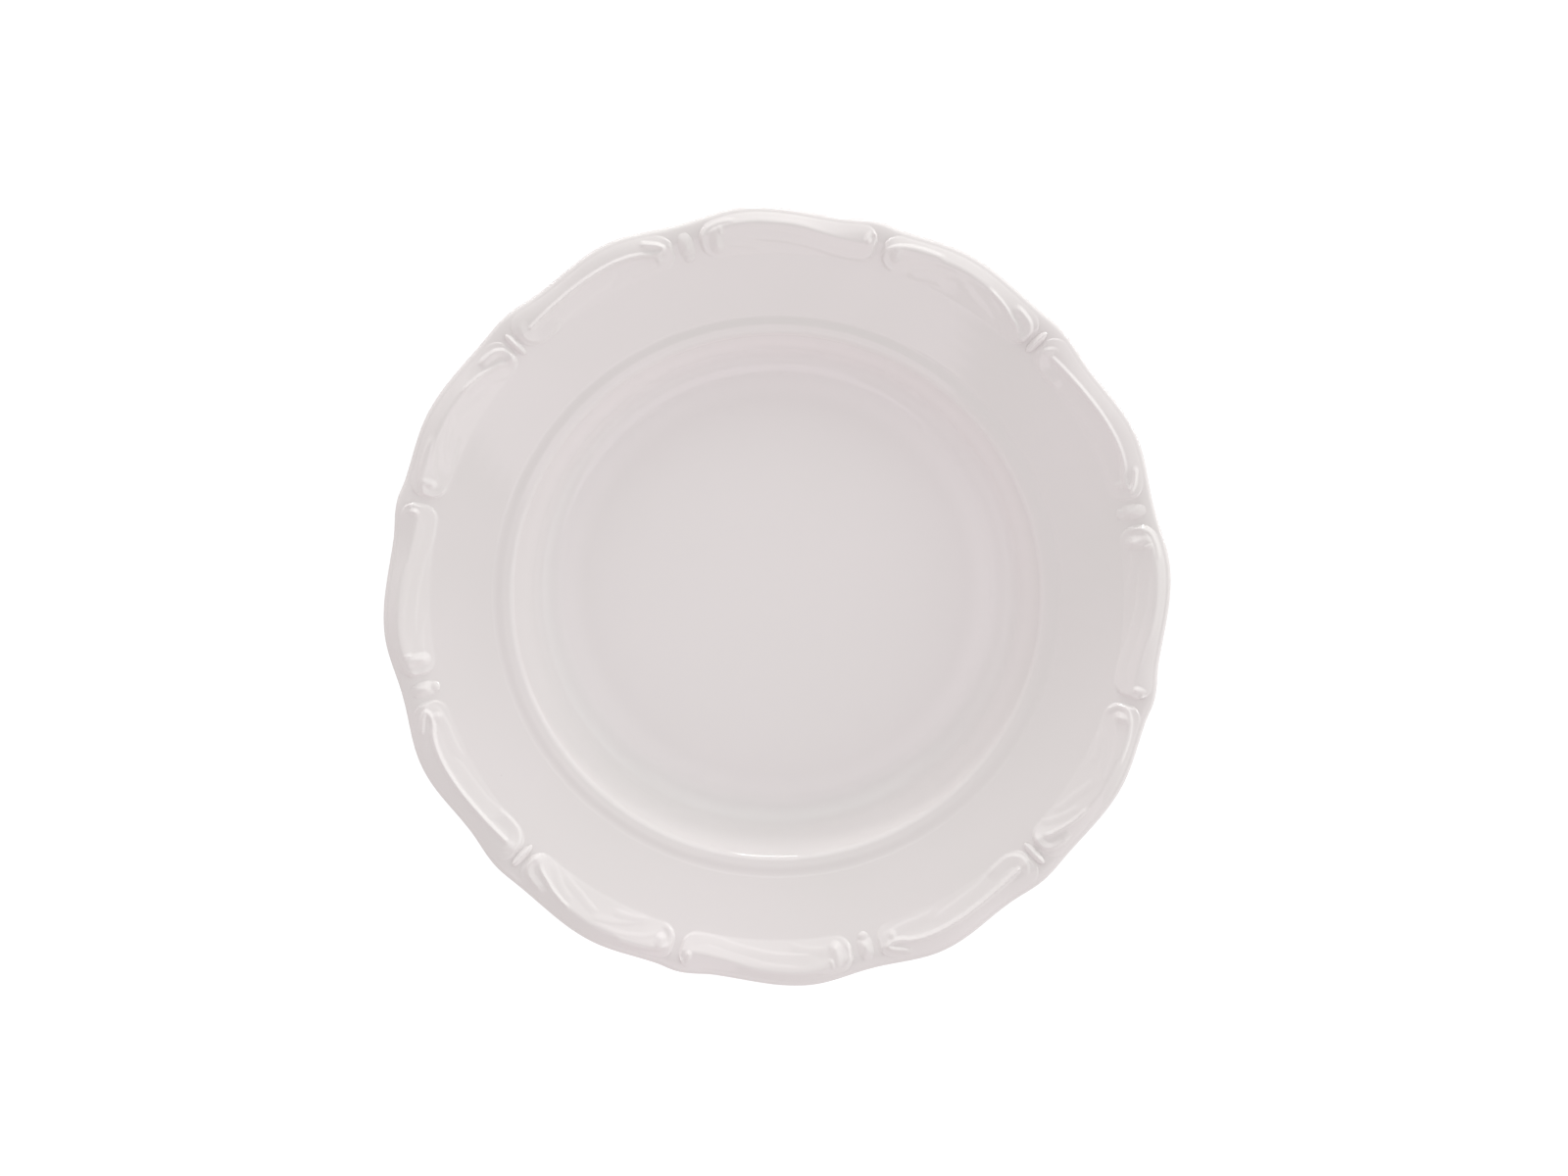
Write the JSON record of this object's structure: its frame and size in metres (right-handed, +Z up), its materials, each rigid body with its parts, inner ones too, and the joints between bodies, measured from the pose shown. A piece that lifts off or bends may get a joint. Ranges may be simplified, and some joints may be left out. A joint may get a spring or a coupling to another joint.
{
  "type": "rimmed soup plate",
  "caption": "Round white porcelain soup plate with a deep well, a wide sloping rim and a scalloped edge in low scroll relief, standing on a foot ring.",
  "frame": {"origin": "centre of the face that the foot ring rests on, on the table", "axes": "+Z up along the axis of the plate; the relief repeats every quarter turn, starting from +X"},
  "size_m": [0.2412, 0.2412, 0.0381],
  "materials": {
    "glaze": "clear gloss glaze over white porcelain, faintly warm",
    "biscuit": "bare matt porcelain where the foot ring rests"
  },
  "bodies": {
    "root": {"well_floor": "glaze", "well_turn": "glaze", "well_wall": "glaze", "shoulder": "glaze", "rim_flange": "glaze", "rim_border": "glaze", "edge_lip": "glaze", "foot_ring": "biscuit", "scroll_a_1": "glaze", "scroll_a_2": "glaze", "scroll_a_3": "glaze", "scroll_a_4": "glaze", "scroll_b_1": "glaze", "scroll_b_2": "glaze", "scroll_b_3": "glaze", "scroll_b_4": "glaze", "scroll_c_1": "glaze", "scroll_c_2": "glaze", "scroll_c_3": "glaze", "scroll_c_4": "glaze", "petal_1": "glaze", "petal_2": "glaze", "petal_3": "glaze", "petal_4": "glaze", "slim_bead_1": "glaze", "slim_bead_2": "glaze", "slim_bead_3": "glaze", "slim_bead_4": "glaze"}
  },
  "joints": []
}
